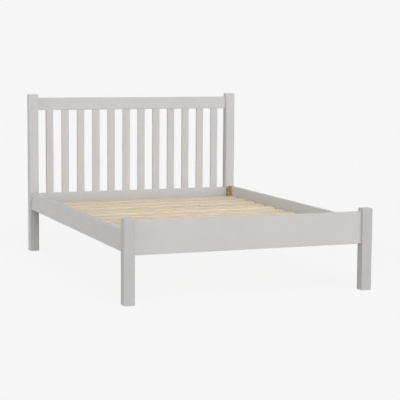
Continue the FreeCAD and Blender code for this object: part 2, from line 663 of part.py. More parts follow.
def make_centre_hanger():
    """Make the foot end's hanger: a screwed back plate with a square cup for the bearer's end."""
    body = new_body("centre_hanger_foot", y=f"-{PANEL_FACE_Y}", z=HANGER_BOTTOM)
    back = new_sketch(body, "XZ_Plane", up=f"{HANGER_HEIGHT} / 2", out="-sizes.hanger_sheet / 2")
    draw_rectangle(back, f"2 * ({HANGER_HALF_OUTSIDE} + sizes.hanger_ear)", HANGER_HEIGHT)
    plate = pad(body, back, "sizes.hanger_sheet")
    chamfer_sheet_corners(body, plate)
    cup = new_sketch(body, "XZ_Plane", out="-(sizes.hanger_sheet + sizes.hanger_reach / 2)")
    draw_outline(
        cup,
        [
            (f"-{HANGER_HALF_OUTSIDE}", "0"),
            (HANGER_HALF_OUTSIDE, "0"),
            (HANGER_HALF_OUTSIDE, HANGER_HEIGHT),
            (HANGER_HALF_INSIDE, HANGER_HEIGHT),
            (HANGER_HALF_INSIDE, "sizes.hanger_sheet"),
            (f"-{HANGER_HALF_INSIDE}", "sizes.hanger_sheet"),
            (f"-{HANGER_HALF_INSIDE}", HANGER_HEIGHT),
            (f"-{HANGER_HALF_OUTSIDE}", HANGER_HEIGHT),
        ],
    )
    pad(body, cup, "sizes.hanger_reach")
    for side in (-1, 1):
        hole = new_sketch(
            body,
            "XZ_Plane",
            across=f"{side} * {HANGER_SCREW_X}",
            up="sizes.hanger_screw_margin",
            out="-sizes.hanger_sheet",
        )
        countersunk_row(body, hole, SHORT_SCREW, "sizes.hanger_sheet", "Z_Axis", HANGER_SCREW_PITCH, "2")
    return body


def make_post_plate():
    """Make the foot-left post's plate, with a slot for each hook and a screw either side of the slots."""
    body = new_body(
        "post_plate_foot_left", x=f"-{HALF_INNER_WIDTH}", y=f"-{HALF_INNER_LENGTH}", z=BRACKET_BOTTOM
    )
    blank = new_sketch(
        body, "XZ_Plane", across=PLATE_ACROSS, up=f"{BRACKET_HEIGHT} / 2", out="-sizes.bracket_sheet / 2"
    )
    draw_rectangle(blank, PLATE_WIDTH, BRACKET_HEIGHT)
    plate = pad(body, blank, "sizes.bracket_sheet")
    chamfer_sheet_corners(body, plate)
    for hook in range(count(HOOK_COUNT)):
        seat = f"(sizes.hook_first_seat + {hook} * sizes.hook_pitch)"
        slot = new_sketch(body, "XZ_Plane", across=PLATE_ACROSS, up=f"{seat} + {HOOK_SLOT_HEIGHT} / 2")
        draw_rectangle(slot, HOOK_SLOT_WIDTH, HOOK_SLOT_HEIGHT)
        pocket(body, slot, "(2 * sizes.bracket_sheet)")
    hole = new_sketch(
        body, "XZ_Plane", across=PLATE_ACROSS, up="sizes.plate_screw_margin", out="-sizes.bracket_sheet"
    )
    countersunk_row(
        body, hole, SHORT_SCREW, "sizes.bracket_sheet", "Z_Axis", PLATE_SCREW_PITCH, f"{HOOK_COUNT} + 1"
    )
    return body


def make_rail_hook():
    """Make the foot-left rail's hooked angle: two leaves with a bend between them, and hooks bent out
    of windows in the leaf that lies on the post's plate. A hook's neck sits on the bottom of the
    plate's slot, and its tooth hangs behind the plate."""
    body = new_body(
        "rail_hook_foot_left", x=f"-{HALF_INNER_WIDTH}", y=f"-{HALF_INNER_LENGTH}", z=BRACKET_BOTTOM
    )
    leaf_end = "(sizes.bracket_sheet + sizes.rail_leaf_length)"
    both_sheets = "(2 * sizes.bracket_sheet)"
    section = new_sketch(body, "XY_Plane")
    draw_outline(
        section,
        [
            ("0", "sizes.bracket_sheet"),
            (POST_LEAF_WIDTH, "sizes.bracket_sheet"),
            (POST_LEAF_WIDTH, both_sheets),
            ("sizes.bracket_sheet", both_sheets),
            ("sizes.bracket_sheet", leaf_end),
            ("0", leaf_end),
        ],
    )
    angle = pad(body, section, BRACKET_HEIGHT, symmetric=False)
    sheet_size = number("sizes.bracket_sheet")
    inner_bend = edge_names(
        angle, lambda edge, middle: close_to(middle.x, sheet_size) and close_to(middle.y, 2 * sheet_size)
    )
    bent = fillet(body, angle, inner_bend, "sizes.bracket_bend_radius")
    outer_bend = edge_names(
        bent, lambda edge, middle: close_to(middle.x, 0) and close_to(middle.y, sheet_size)
    )
    bent = fillet(body, bent, outer_bend, "sizes.bracket_bend_radius + sizes.bracket_sheet")
    height = number(BRACKET_HEIGHT)
    leaf_width = number(POST_LEAF_WIDTH)
    leaf_reach = number(leaf_end)

    def leaf_corner(edge, middle):
        """Tell whether an edge is one of the four outer corners of the two leaves."""
        at_end = close_to(middle.z, 0) or close_to(middle.z, height)
        return at_end and (close_to(middle.x, leaf_width) or close_to(middle.y, leaf_reach))

    corners = edge_names(bent, leaf_corner)
    chamfer(body, bent, corners, "sizes.bracket_corner")

    for hook in range(count(HOOK_COUNT)):
        seat = f"(sizes.hook_first_seat + {hook} * sizes.hook_pitch)"
        tooth_bottom = f"({seat} - sizes.hook_drop)"
        hook_top = f"({seat} + sizes.hook_neck)"
        window = new_sketch(
            body,
            "XZ_Plane",
            across=f"{HOOK_FACE} + sizes.hook_window / 2",
            up=f"({tooth_bottom} + {hook_top}) / 2",
            out="-sizes.bracket_sheet",
        )
        draw_rectangle(window, "sizes.hook_window", HOOK_HEIGHT)
        pocket(body, window, both_sheets)
        side_view = new_sketch(body, "YZ_Plane", out=PLATE_ACROSS)
        draw_outline(
            side_view,
            [
                (both_sheets, seat),
                (both_sheets, hook_top),
                ("-sizes.hook_depth", hook_top),
                ("-sizes.hook_depth", f"{tooth_bottom} + sizes.hook_lead"),
                ("-sizes.hook_depth + sizes.hook_lead", tooth_bottom),
                ("-sizes.hook_play", tooth_bottom),
                ("-sizes.hook_play", seat),
            ],
        )
        pad(body, side_view, "sizes.bracket_sheet")
    hole = new_sketch(
        body, "YZ_Plane", across="sizes.rail_screw_offset", up=LOWEST_RAIL_SCREW, out="sizes.bracket_sheet"
    )
    countersunk_row(
        body, hole, SHORT_SCREW, "sizes.bracket_sheet", "Z_Axis", RAIL_SCREW_PITCH, "sizes.rail_screw_count"
    )
    return body


def screw_shape(screw):
    """Build a countersunk screw about Z, with its head's flat at the origin and its point down."""
    diameter, head, length = screw
    shank_radius = number(diameter) / 2
    head_radius = number(head) / 2
    full_length = number(length)
    sides = count("sizes.screw_sides")
    rings = [
        polygon_corners(head_radius, sides),
        polygon_corners(shank_radius, sides, -number(head_depth(screw))),
        polygon_corners(shank_radius, sides, number("sizes.screw_tip") - full_length),
    ]
    point = Vector(0, 0, -full_length)
    faces = [Part.Face(Part.makePolygon(rings[0] + rings[0][:1]))]
    for corner in range(sides):
        following = (corner + 1) % sides
        for upper, lower in zip(rings, rings[1:]):
            corners = [upper[corner], upper[following], lower[following], lower[corner], upper[corner]]
            faces.append(Part.Face(Part.makePolygon(corners)))
        tip = [rings[-1][corner], rings[-1][following], point, rings[-1][corner]]
        faces.append(Part.Face(Part.makePolygon(tip)))
    solid = Part.makeSolid(Part.makeShell(faces))
    if solid.Volume < 0:
        solid.reverse()
    return solid


def make_screws(name, screw, places):
    """Make one group of screws. Each place is a head's centre and the direction that the screw points.
    A screw along X has a corner of its section on Y, and any other has one on X, as its hole has."""
    pattern = screw_shape(screw)
    copies = []
    for centre, direction in places:
        corner_axis = Vector(0, 1, 0) if direction.x else Vector(1, 0, 0)
        turn = Rotation(corner_axis, corner_axis.cross(direction), -direction, "ZXY")
        copies.append(pattern.transformed(Placement(centre, turn).toMatrix(), True))
    group = doc.addObject("Part::Feature", name)
    group.Label = name
    group.Shape = Part.makeCompound(copies)
    group.Placement = Placement()
    pieces.append(group)


def four_corners(across, along, height, direction_x, direction_y):
    """Give a screw's place at the foot-left corner and its mirror images at the other three."""
    places = []
    for side in (-1, 1):
        for end in (-1, 1):
            centre = Vector(side * across, end * along, height)
            places.append((centre, Vector(side * direction_x, end * direction_y, 0)))
    return places


# Headboard
HEAD_RAILS = [(TOP_RAIL_Z, "sizes.top_rail_height"), (LOWER_RAIL_Z, "sizes.lower_rail_height")]
FOOT_RAILS = [(FOOT_RAIL_Z, "sizes.foot_rail_height")]
X_NORMAL = Vector(1, 0, 0)
Y_NORMAL = Vector(0, 1, 0)
head_post = make_post("head_post_left", POST_Y, "sizes.head_post_height", 1, HEAD_RAILS)
mirrored("head_post_right", head_post, X_NORMAL)
top_rail = make_panel_rail("headboard_top_rail", POST_Y, TOP_RAIL_Z, "sizes.top_rail_height")
cut_slat_mortises(top_rail, "-sizes.top_rail_height / 2")
lower_rail = make_panel_rail("headboard_lower_rail", POST_Y, LOWER_RAIL_Z, "sizes.lower_rail_height")
cut_slat_mortises(lower_rail, "sizes.lower_rail_height / 2")
drill_hanger_holes(lower_rail, 1, LOWER_RAIL_Z)
for slat_index in range(1, count("sizes.headboard_slat_count") + 1):
    make_headboard_slat(slat_index)

# Foot end
foot_post = make_post("foot_post_left", f"-{POST_Y}", "sizes.foot_post_height", -1, FOOT_RAILS)
mirrored("foot_post_right", foot_post, X_NORMAL)
foot_rail = make_panel_rail("foot_rail", f"-{POST_Y}", FOOT_RAIL_Z, "sizes.foot_rail_height")
drill_hanger_holes(foot_rail, -1, FOOT_RAIL_Z)

# Sides and slat base
side_rail = make_side_rail()
mirrored("side_rail_right", side_rail, X_NORMAL)
ledger = make_ledger()
mirrored("slat_ledger_right", ledger, X_NORMAL)
for slat_index in range(1, count("sizes.bed_slat_count") + 1):
    make_bed_slat(slat_index)
make_centre_rail()
hanger = make_centre_hanger()
mirrored("centre_hanger_head", hanger, Y_NORMAL)

# Corner brackets
for make_bracket in (make_post_plate, make_rail_hook):
    foot_left = make_bracket()
    kind = foot_left.Label.removesuffix("_foot_left")
    foot_right = mirrored(f"{kind}_foot_right", foot_left, X_NORMAL)
    mirrored(f"{kind}_head_left", foot_left, Y_NORMAL)
    mirrored(f"{kind}_head_right", foot_right, Y_NORMAL)
doc.recompute()

# Screws
half_width = number(HALF_INNER_WIDTH)
half_length = number(HALF_INNER_LENGTH)
bracket_bottom = number(BRACKET_BOTTOM)
bracket_sheet = number("sizes.bracket_sheet")

plate_places = []
for index in range(count(HOOK_COUNT) + 1):
    screw_z = bracket_bottom + number("sizes.plate_screw_margin") + index * number(PLATE_SCREW_PITCH)
    screw_x = half_width - number(PLATE_ACROSS)
    plate_places += four_corners(screw_x, half_length - bracket_sheet, screw_z, 0, 1)
make_screws("post_plate_screws", SHORT_SCREW, plate_places)

leaf_places = []
for index in range(count("sizes.rail_screw_count")):
    screw_z = bracket_bottom + number(LOWEST_RAIL_SCREW) + index * number(RAIL_SCREW_PITCH)
    screw_y = half_length - number("sizes.rail_screw_offset")
    leaf_places += four_corners(half_width - bracket_sheet, screw_y, screw_z, 1, 0)
make_screws("rail_hook_screws", SHORT_SCREW, leaf_places)

ledger_places = []
ledger_face = half_width - number("sizes.ledger_width")
for index in range(count("sizes.ledger_screw_count")):
    screw_y = (index - (number("sizes.ledger_screw_count") - 1) / 2) * number(LEDGER_SCREW_PITCH)
    for side in (-1, 1):
        ledger_places.append((Vector(side * ledger_face, screw_y, number(LEDGER_Z)), Vector(side, 0, 0)))
make_screws("ledger_screws", LEDGER_SCREW, ledger_places)

slat_places = []
slat_top = number(LEDGER_TOP) + number("sizes.bed_slat_thickness")
for index in range(count("sizes.bed_slat_count")):
    screw_y = (index - (number("sizes.bed_slat_count") - 1) / 2) * number(BED_SLAT_PITCH)
    for side in (-1, 1):
        slat_places.append((Vector(side * number(SLAT_SCREW_X), screw_y, slat_top), Vector(0, 0, -1)))
make_screws("bed_slat_screws", SLAT_SCREW, slat_places)

hanger_places = []
hanger_face = number(PANEL_FACE_Y) - number("sizes.hanger_sheet")
for index in range(2):
    screw_z = number(HANGER_BOTTOM) + number("sizes.hanger_screw_margin") + index * number(HANGER_SCREW_PITCH)
    hanger_places += four_corners(number(HANGER_SCREW_X), hanger_face, screw_z, 0, 1)
make_screws("centre_hanger_screws", SHORT_SCREW, hanger_places)
doc.recompute()

# Write each sub-part to its own file
for item in doc.Objects:
    if "Invalid" in item.State or "Error" in item.State:
        raise RuntimeError(f"{item.Label} failed to build")
for piece in pieces:
    if piece.Shape.isNull() or not piece.Shape.isValid():
        raise RuntimeError(f"{piece.Label} has no valid shape")
os.makedirs("parts", exist_ok=True)
for piece in pieces:
    piece.Shape.exportStep(f"parts/{piece.Label}.step")
print(len(pieces), "sub-parts written")
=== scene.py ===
# %% [markdown]
# # A painted bed frame with a slatted base
#
# This lesson dresses a bed frame that already exists as an exact assembly of solids: four posts, a
# slatted headboard, a foot rail, two side rails, a pine slat base and the steel brackets that hook
# the sides onto the posts. Everything is in metres. +X is to the right for someone who looks at the
# bed from its foot end, +Y runs towards the headboard, +Z is up, and the floor is at zero.

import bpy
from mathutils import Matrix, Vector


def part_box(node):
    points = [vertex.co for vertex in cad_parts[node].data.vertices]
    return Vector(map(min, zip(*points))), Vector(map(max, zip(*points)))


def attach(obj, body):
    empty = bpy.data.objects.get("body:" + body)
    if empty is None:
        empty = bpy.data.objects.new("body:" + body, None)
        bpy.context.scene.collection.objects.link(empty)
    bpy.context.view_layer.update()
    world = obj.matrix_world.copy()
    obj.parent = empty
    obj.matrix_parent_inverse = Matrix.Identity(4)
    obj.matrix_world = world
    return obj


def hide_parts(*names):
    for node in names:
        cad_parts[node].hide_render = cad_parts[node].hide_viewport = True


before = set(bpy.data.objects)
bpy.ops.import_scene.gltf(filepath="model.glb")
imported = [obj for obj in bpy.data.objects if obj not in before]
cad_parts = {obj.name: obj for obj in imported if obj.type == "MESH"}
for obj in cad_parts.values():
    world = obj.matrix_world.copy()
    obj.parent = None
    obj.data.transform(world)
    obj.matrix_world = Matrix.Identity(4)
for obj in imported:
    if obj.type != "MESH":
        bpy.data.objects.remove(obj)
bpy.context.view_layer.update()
print("nodes in the frame:", len(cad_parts))

# %% Tools
import math

import bpy
import numpy as np
from mathutils import Matrix, Vector

scene = bpy.context.scene
scene.view_settings.view_transform = "Standard"
print("Blender", bpy.app.version_string)

# %% [markdown]
# ## The camera
#
# The bed is seen from outside its foot-left corner, a little above the headboard and from about
# eight metres away. Such a distance with a long lens keeps upright edges nearly parallel, as in a
# catalogue picture. The camera could be aimed with a constraint. Here its three axes are written
# down from three angles instead, so that nothing depends on another object.

# %% Camera
camera_place = Vector((-2.8049, -7.4040, 1.3265))
camera_turn = math.radians(21.391)
camera_tilt = math.radians(-6.531)
camera_roll = math.radians(0.402)
picture_width_px = 400
focal_length_px = 1310.65

forward = Vector((
    math.sin(camera_turn) * math.cos(camera_tilt),
    math.cos(camera_turn) * math.cos(camera_tilt),
    math.sin(camera_tilt),
))
level_right = Vector((math.cos(camera_turn), -math.sin(camera_turn), 0))
level_up = level_right.cross(forward)
right = level_right * math.cos(camera_roll) + level_up * math.sin(camera_roll)
up = level_up * math.cos(camera_roll) - level_right * math.sin(camera_roll)
camera_axes = Matrix((right, up, -forward)).transposed().to_4x4()

camera_data = bpy.data.cameras.new("camera")
camera_data.sensor_fit = "HORIZONTAL"
camera_data.lens = camera_data.sensor_width * focal_length_px / picture_width_px
camera = bpy.data.objects.new("camera", camera_data)
camera.matrix_world = Matrix.Translation(camera_place) @ camera_axes
scene.collection.objects.link(camera)
scene.camera = camera
print("lens", round(camera_data.lens, 1), "mm, distance", round(camera_place.length, 2), "m")

# %% [markdown]
# ## Shader arithmetic
#
# A material in Blender is a graph of nodes, and a graph is tedious to write out link by link. The
# class below wraps one socket, so that a mask can be written as ordinary arithmetic: each operator
# adds a Math node. Colours go through a Mix node, because a Math node would turn them grey.

# %% A socket that takes part in arithmetic
class Wire:
    """One output socket of a node tree. Operators on it add Math nodes to the tree."""

    def __init__(self, tree, socket=None):
        self.tree = tree
        self.socket = socket

    def node(self, kind, settings=None, inputs=None, output=0):
        """Add a node: first its settings, then the values or links of its sockets."""
        made = self.tree.nodes.new(kind)
        for name, value in (settings or {}).items():
            setattr(made, name, value)
        for key, value in (inputs or {}).items():
            socket = made.inputs[key]
            if isinstance(value, Wire):
                self.tree.links.new(value.socket, socket)
            elif socket.type == "RGBA":
                socket.default_value = (*value, 1)
            else:
                socket.default_value = value
        return Wire(self.tree, made.outputs[output] if made.outputs else None)

    def output(self, name):
        """Another output of the node that this socket belongs to."""
        return Wire(self.tree, self.socket.node.outputs[name])

    def math(self, operation, *others):
        """This value, and any others after it, through one Math node."""
        return self.node("ShaderNodeMath", {"operation": operation}, dict(enumerate((self, *others))))

    def __add__(self, other):
        return self.math("ADD", other)

    __radd__ = __add__

    def __sub__(self, other):
        return self.math("SUBTRACT", other)

    def __rsub__(self, other):
        return self.node("ShaderNodeMath", {"operation": "SUBTRACT"}, {0: other, 1: self})

    def __mul__(self, other):
        return self.math("MULTIPLY", other)

    __rmul__ = __mul__

    def __truediv__(self, other):
        return self.math("DIVIDE", other)

    def rise(self, start, stop):
        """A smooth step: 0 below start, 1 above stop."""
        return self.node(
            "ShaderNodeMapRange",
            {"interpolation_type": "SMOOTHSTEP"},
            {"Value": self, "From Min": start, "From Max": stop},
        )

    def mix(self, first, second):
        """The first colour where this mask is 0, and the second where it is 1."""
        settings = {"data_type": "RGBA"}
        return self.node("ShaderNodeMix", settings, {0: self, 6: first, 7: second}, output=2)

    def times(self, scales):
        """A vector with each of its parts multiplied, which stretches a pattern."""
        return self.node("ShaderNodeVectorMath", {"operation": "MULTIPLY"}, {0: self, 1: scales})

    def scaled(self, factor):
        """A colour or vector with all of its parts multiplied by one factor."""
        return self.node("ShaderNodeVectorMath", {"operation": "SCALE"}, {0: self, "Scale": factor})

    def noise(self, scale, detail=2.0, roughness=0.5):
        """Soft random blotches of about 1 / scale metres, from 0 to 1, at this place."""
        inputs = {"Vector": self, "Scale": scale, "Detail": detail, "Roughness": roughness}
        return self.node("ShaderNodeTexNoise", {}, inputs)

    def attribute(self, name, output="Fac"):
        """What a mesh keeps at its points under a name: a number, or a vector with output="Vector"."""
        return self.node("ShaderNodeAttribute", {"attribute_name": name}, output=output)

    def relief(self, strength, distance):
        """The normals of a surface on which this pattern stands out by up to the distance."""
        inputs = {"Strength": strength, "Distance": distance, "Height": self}
        return self.node("ShaderNodeBump", {}, inputs)


print("a wire can:", ", ".join(name for name in vars(Wire) if not name.startswith("_")))

# %% Starting and closing a finish
def start_finish(name):
    """An empty node material, and a wire to build it with."""
    material = bpy.data.materials.new(name)
    material.use_nodes = True
    material.node_tree.nodes.clear()
    return material, Wire(material.node_tree)


def close_finish(tree, **values):
    """End a finish in a Principled shader. A socket is named by its words joined with underscores."""
    inputs = {name.replace("_", " "): value for name, value in values.items()}
    surface = tree.node("ShaderNodeBsdfPrincipled", {}, inputs)
    tree.node("ShaderNodeOutputMaterial", {}, {"Surface": surface})


def seen_colour(red, green, blue):
    """Turn a colour as a screen shows it, 0 to 255, into the light values that shaders use."""
    shown = np.array([red, green, blue]) / 255
    light = np.where(shown <= 0.04045, shown / 12.92, ((shown + 0.055) / 1.055) ** 2.4)
    return tuple(float(value) for value in light)


print("a screen's middle grey as light:", round(seen_colour(128, 128, 128)[0], 3))

# %% [markdown]
# ## Floor and light
#
# The bed stands in a plain pale studio. Lamps of finite size would leave a bright pool on the floor,
# so the light here is a faint sky all round and very wide suns, which give the same light everywhere.
# The pale background is what the camera sees of the floor and the sky, and what shiny surfaces
# mirror. It sheds no light of its own on the bed. The floor mixes that background with its own lit
# surface, so that a faint shadow comes through, and its glow makes up for what an unshaded floor
# would lack.

# %% Suns
suns = {
    "left_sun": {"towards": (-0.98, -0.16, 0.14), "share": 0.46, "width": 32},
    "left_back_sun": {"towards": (-0.88, 0.41, 0.26), "share": 0.13, "width": 40},
    "low_front_sun": {"towards": (0, -0.99, 0.14), "share": 0.38, "width": 40},
    "high_front_sun": {"towards": (0, -0.57, 0.82), "share": 0.38, "width": 40},
    "right_front_sun": {"towards": (0.49, -0.85, 0.21), "share": 0.26, "width": 40},
    "back_sun": {"towards": (0.33, 0.91, 0.26), "share": 0.18, "width": 40},
}


def add_sun(name, towards, share, width):
    """A wide sun that stands in the given direction. A share of 1 lights a facing surface fully. The
    result is its share on a level floor."""
    lamp = bpy.data.lights.new(name, "SUN")
    lamp.energy = share * math.pi
    lamp.angle = math.radians(width)
    sun = bpy.data.objects.new(name, lamp)
    sun.rotation_euler = Vector(towards).to_track_quat("Z", "Y").to_euler()
    scene.collection.objects.link(sun)
    return share * Vector(towards).normalized().z


sun_on_floor = sum(add_sun(name, **sun) for name, sun in suns.items())
print("light of the suns on the floor:", round(sun_on_floor, 2))

# %% Sky
background_colour = seen_colour(246, 246, 246)
sky_strength = 0.065


def seen_directly(tree):
    """A mask of the rays that see a surface as it is: from the camera, off gloss or through glass."""
    path = tree.node("ShaderNodeLightPath")
    camera_ray, glossy, through = (
        path.output(f"Is {kind} Ray") for kind in ("Camera", "Glossy", "Transmission")
    )
    return camera_ray.math("MAXIMUM", glossy.math("MAXIMUM", through))


world = bpy.data.worlds.new("studio")
world.use_nodes = True
world.node_tree.nodes.clear()
sky = Wire(world.node_tree)
sky_light = sky.node("ShaderNodeBackground", {}, {"Color": (1, 1, 1), "Strength": sky_strength})
sky_seen = sky.node("ShaderNodeBackground", {}, {"Color": background_colour, "Strength": 1.0})
sky_both = sky.node("ShaderNodeMixShader", {}, {0: seen_directly(sky), 1: sky_light, 2: sky_seen})
sky.node("ShaderNodeOutputWorld", {}, {"Surface": sky_both})
scene.world = world
print("sky nodes:", len(world.node_tree.nodes))

# %% Floor
floor_albedo = 0.60
floor_half_size = 30.0
floor_plainness = 0.88

floor_lit_value = floor_albedo * (sky_strength + sun_on_floor)
floor_glow = (1 - (1 - floor_plainness) * floor_lit_value / background_colour[0]) / floor_plainness
floor_finish, tree = start_finish("studio_floor")
floor_lit = tree.node("ShaderNodeBsdfDiffuse", {}, {"Color": (floor_albedo,) * 3})
floor_seen = tree.node("ShaderNodeEmission", {}, {"Color": background_colour, "Strength": floor_glow})
floor_share = seen_directly(tree) * floor_plainness
floor_both = tree.node("ShaderNodeMixShader", {}, {0: floor_share, 1: floor_lit, 2: floor_seen})
tree.node("ShaderNodeOutputMaterial", {}, {"Surface": floor_both})

floor_mesh = bpy.data.meshes.new("studio_floor")
floor_corners = floor_half_size * np.array([[-1, -1, 0], [1, -1, 0], [1, 1, 0], [-1, 1, 0]])
floor_mesh.from_pydata(floor_corners, [], [[0, 1, 2, 3]])
floor_mesh.materials.append(floor_finish)
floor = bpy.data.objects.new("studio_floor", floor_mesh)
scene.collection.objects.link(floor)
print("glow of the floor:", round(floor_glow, 3))

# %% [markdown]
# ## The shape of a board
#
# Nearly everything on this bed is a board: a straight length of wood whose corners are rounded over
# and whose ends are eased. A cube with a Bevel modifier would look the same from afar, but it would
# know nothing about its own grain. So each board is worked out as a surface: an eased outline is
# carried along the length, and every point also keeps its place in the wood.

# %% Outline, stations and surface
arc_steps = 6
easing_steps = 4


def eased_outline(width, thickness, radius):
    """The outline of a board's section: a rectangle with quarter circles for corners. A point is a
    corner circle's centre plus the radius times a direction, which is its outward normal too. The
    third result rises to 1 in the middle of each rounded corner."""
    turn = np.linspace(0, np.pi / 2, arc_steps + 1)
    angle = np.add.outer(np.arange(4) * np.pi / 2, turn).ravel()
    normal = np.stack([np.cos(angle), np.sin(angle)], axis=1)
    corner = np.repeat(np.array([[1, 1], [-1, 1], [-1, -1], [1, -1]]), arc_steps + 1, axis=0)
    centre = corner * (np.array([width, thickness]) / 2 - radius)
    return centre, normal, np.tile(np.sin(2 * turn), 4)


def eased_stations(length, start_easing, end_easing):
    """Stations along a board from 0 to its length. Each has a place, how far the outline has drawn
    in, and how far the surface leans towards the end: a quarter turn at each eased end, where the
    place goes with the sine of the lean and the inset with one minus its cosine."""
    lean = np.linspace(0, np.pi / 2, easing_steps + 1)
    start = start_easing * (1 - np.sin(lean))[::-1]
    end = length - end_easing * (1 - np.sin(lean))
    start_inset = start_easing * (1 - np.cos(lean))[::-1]
    end_inset = end_easing * (1 - np.cos(lean))
    return (
        np.concatenate([start, end]),
        np.concatenate([start_inset, end_inset]),
        np.concatenate([-lean[::-1], lean]),
    )


def board_surface(length, width, thickness, radius, start_easing, end_easing):
    """Rings of points and normals of a board, in its own directions: across, through and along. A
    ring is the outline with its corner circles drawn in by the station's inset. The last two results
    are masks that rise to 1 on the rounded edges and on the ends."""
    centre, direction, corner = eased_outline(width, thickness, radius)
    place, inset, lean = eased_stations(length, start_easing, end_easing)
    section = centre + (radius - inset)[:, None, None] * direction
    along = np.broadcast_to(place[:, None, None] - length / 2, section.shape[:2] + (1,))
    points = np.concatenate([section, along], axis=2)
    sideways = np.cos(lean)[:, None, None] * direction
    endways = np.broadcast_to(np.sin(lean)[:, None, None], section.shape[:2] + (1,))
    normals = np.concatenate([sideways, endways], axis=2)
    edge = np.maximum(corner[None, :], np.sin(2 * np.abs(lean))[:, None])
    end = np.broadcast_to((np.abs(lean) / (np.pi / 2))[:, None], section.shape[:2])
    return points, normals, edge, end


print("points round a board:", 4 * (arc_steps + 1))

# %% From rings to a mesh
def skin(name, points, normals=None):
    """A closed mesh over a stack of rings of points, or over several stacks at once: four-sided faces
    between neighbouring rings, and a flat face over the first and the last ring of each stack."""
    ring_size = points.shape[-2]
    index = np.arange(points[..., 0].size).reshape(points.shape[:-1])
    here, there = index[..., :-1, :], index[..., 1:, :]
    walls = np.stack([here, np.roll(here, -1, -1), np.roll(there, -1, -1), there], axis=-1)
    first = index[..., 0, ::-1].reshape(-1, ring_size)
    last = index[..., -1, :].reshape(-1, ring_size)
    faces = walls.reshape(-1, 4).tolist() + first.tolist() + last.tolist()
    mesh = bpy.data.meshes.new(name)
    mesh.from_pydata(points.reshape(-1, 3), [], faces)
    if normals is not None:
        mesh.shade_smooth()
        mesh.normals_split_custom_set_from_vertices(normals.reshape(-1, 3))
    return mesh


def keep(mesh, name, values):
    """Store a number or a vector at each point of a mesh, for its finish to read."""
    values = np.ascontiguousarray(values, dtype=np.float32)
    kind, field = ("FLOAT_VECTOR", "vector") if values.shape[-1] == 3 else ("FLOAT", "value")
    mesh.attributes.new(name, kind, "POINT").data.foreach_set(field, values.ravel())


def keep_tone(mesh, tone):
    """Store the same tone at every point of a mesh."""
    keep(mesh, "tone", np.full((len(mesh.vertices), 1), tone))


print("rings along a board:", 2 * (easing_steps + 1))

# %% A board in its place
pattern_seed = 1963
longest_shift = 20
chance = np.random.default_rng(pattern_seed)


def in_frame(local, along_axis):
    """Turn a board's across, through and along into X, Y and Z, for a board along one of those axes."""
    turned = np.empty_like(local)
    turned[..., [(along_axis + 1) % 3, (along_axis + 2) % 3, along_axis]] = local
    return turned


def board_mesh(name, box, along_axis, radius, start_easing, end_easing):
    """A board that fills a box along one axis. Its attributes are the place in the board, shifted by
    a random length so that no two boards look alike, and the masks of its edges and ends."""
    low, high = (np.array(corner) for corner in box)
    size = (high - low)[[along_axis, (along_axis + 1) % 3, (along_axis + 2) % 3]]
    local, normals, edge, end = board_surface(*size, radius, start_easing, end_easing)
    mesh = skin(name, in_frame(local, along_axis) + (low + high) / 2, in_frame(normals, along_axis))
    keep(mesh, "board", local + chance.uniform(0, longest_shift, 3))
    keep(mesh, "edge", edge[..., None])
    keep(mesh, "end", end[..., None])
    return mesh, local


def place_piece(mesh, finish, node):
    """Put a finished mesh into the scene in the place of a node of the frame."""
    mesh.materials.append(finish)
    piece = bpy.data.objects.new(f"{node}_finished", mesh)
    scene.collection.objects.link(piece)
    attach(piece, "root")
    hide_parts(node)


print("patterns are drawn from seed", pattern_seed)

# %% [markdown]
# ## Satin paint on wood
#
# The posts, rails and headboard slats are sprayed with a light, slightly warm grey satin paint. One
# even grey would do from afar, but such paint is never perfectly even: it has a fine orange-peel
# texture, the grain underneath shows through as faint lines along each board, the sheen varies, and
# the coat is thinner on the rounded edges. All four are small here, because the bed is new. They
# follow the board's own directions, which an image wrapped round it would not. Pieces are sprayed one
# by one, so each also has a tone of its own: a factor on its colour. The sheen is kept low, because a
# glossier paint would turn the rails' narrow tops white where they are seen almost edge on.

# %% Paint
paint_colour = seen_colour(202, 200, 199)
thin_paint_colour = seen_colour(210, 208, 206)
deep_paint_colour = seen_colour(197, 196, 195)
paint_roughness = 0.46
paint_sheen = 0.3
paint_relief = {"strength": 0.12, "distance": 0.0003}
cloud_scale = 5
grain_line_scales = (160, 160, 5)
orange_peel_scale = 650
thin_coat_scale = 28


def make_paint():
    """Grey paint that is deeper in soft clouds and along the grain, and thinner on parts of the edges."""
    finish, tree = start_finish("grey_satin_paint")
    board = tree.attribute("board", output="Vector")
    cloud = board.noise(cloud_scale, detail=3)
    grain_lines = board.times(grain_line_scales).noise(1, detail=4, roughness=0.65)
    orange_peel = board.noise(orange_peel_scale, detail=1)
    thin = tree.attribute("edge") * board.noise(thin_coat_scale, detail=3).rise(0.42, 0.62)
    deep = cloud.rise(0.3, 0.7) * 0.55 + grain_lines.rise(0.35, 0.7) * 0.45
    coat = deep.mix(paint_colour, deep_paint_colour)
    colour = (thin * 0.6).mix(coat, thin_paint_colour).scaled(tree.attribute("tone"))
    normal = (grain_lines * 0.6 + orange_peel * 0.4).relief(**paint_relief)
    roughness = cloud * 0.12 + orange_peel * 0.05 + grain_lines * 0.05 + paint_roughness
    close_finish(tree, Base_Color=colour, Roughness=roughness, Specular_IOR_Level=paint_sheen, Normal=normal)
    return finish


paint = make_paint()
print("paint nodes:", len(paint.node_tree.nodes))
